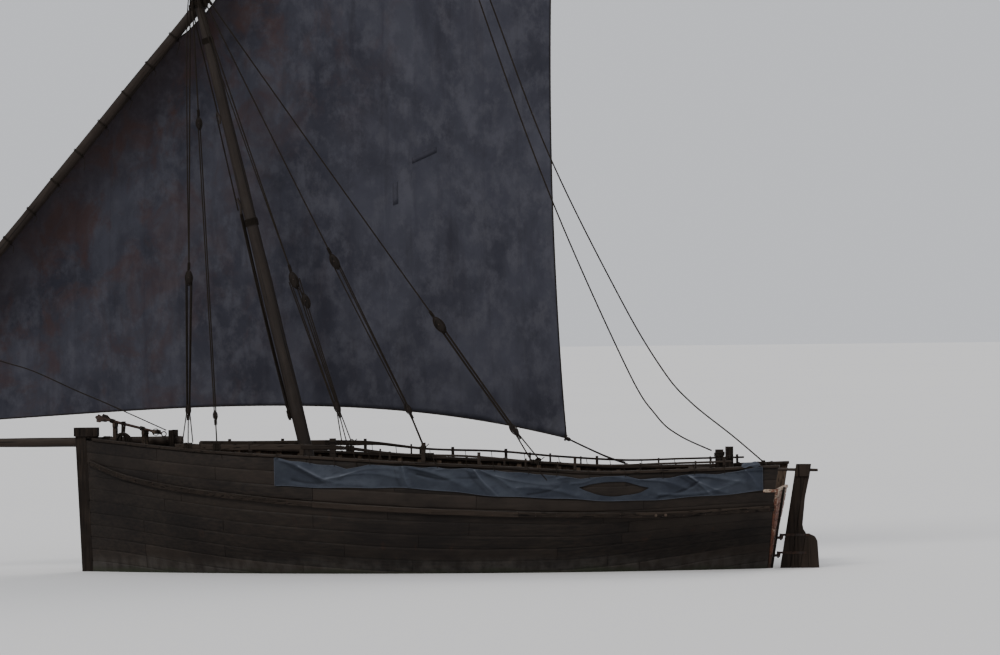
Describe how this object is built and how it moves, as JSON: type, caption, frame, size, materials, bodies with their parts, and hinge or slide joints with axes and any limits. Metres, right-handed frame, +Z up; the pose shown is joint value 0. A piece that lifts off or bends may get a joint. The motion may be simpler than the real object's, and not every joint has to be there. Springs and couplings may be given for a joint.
{
  "type": "lateen-rigged cargo dhow sailing boat",
  "caption": "Wooden cargo dhow afloat with one raked mast, a long lateen yard and sail, bowsprit, open hold, stern-hung rudder and windward shroud tackles.",
  "frame": {"origin": "amidships on the centre line at the waterline", "axes": "+X towards the bow, +Y to port, +Z up"},
  "size_m": [21.1439, 4.717, 23.4668],
  "materials": {
    "planking": "oiled, weathered",
    "timber": "weathered",
    "transom": "worn paint and bare wood",
    "deck": "worn",
    "spar": "oiled",
    "rope": "coir and manila rope",
    "sailcloth": "stained cotton canvas",
    "weather_cloth": "faded canvas",
    "iron": "rusty"
  },
  "bodies": {
    "root": {"aft_deck": "deck", "anchor": "iron", "anchor_rest_aft": "timber", "anchor_rest_fore": "timber", "beam_aft": "timber", "beam_fore": "timber", "beam_hold_aft": "timber", "beam_mast": "timber", "beam_middle": "timber", "bowsprit": "spar", "bowsprit_bitts": "timber", "foredeck": "deck", "gudgeon_1": "iron", "gudgeon_2": "iron", "gudgeon_3": "iron", "gunwale_port": "timber", "gunwale_starboard": "timber", "hold_floor": "deck", "hounds_collar": "rope", "keel": "timber", "mast": "spar", "mast_step": "timber", "planking_port_bow": "planking", "planking_port_quarter": "planking", "planking_port_shoulder": "planking", "planking_port_waist": "planking", "planking_starboard_bow": "planking", "planking_starboard_quarter": "planking", "planking_starboard_shoulder": "planking", "planking_starboard_waist": "planking", "quarter_bitt_port": "timber", "quarter_bitt_starboard": "timber", "shroud_tackle_1": "rope", "shroud_tackle_2": "rope", "shroud_tackle_3": "rope", "shroud_tackle_4": "rope", "shroud_tackle_5": "rope", "stem_post": "timber", "stern_post": "timber", "tack_lashing": "rope", "top_rail_port": "timber", "top_rail_starboard": "timber", "transom": "transom", "vangs": "rope", "wale_port": "timber", "wale_starboard": "timber", "weather_cloth_port": "weather_cloth", "weather_cloth_starboard": "weather_cloth", "yard_sling": "rope"},
    "rudder": {"pintle_1": "iron", "pintle_2": "iron", "pintle_3": "iron", "rudder": "timber", "tiller": "spar"},
    "yard": {"sail": "sailcloth", "yard_lashing_1": "timber", "yard_lashing_2": "timber", "yard_lashing_3": "timber", "yard_lower_spar": "spar", "yard_upper_spar": "spar"}
  },
  "joints": [
    {"name": "rudder_hinge", "type": "hinge", "parent": "root", "child": "rudder", "pos_m": [-7.23, 0, 0], "axis": [-0.1628, 0, 0.9867], "range_deg": [-35, 35]},
    {"name": "yard_swing", "type": "hinge", "parent": "root", "child": "yard", "pos_m": [12.72, 0.015, 2.735], "axis": [-0.6442, -0.0326, 0.7642], "range_deg": [0, 40]}
  ]
}
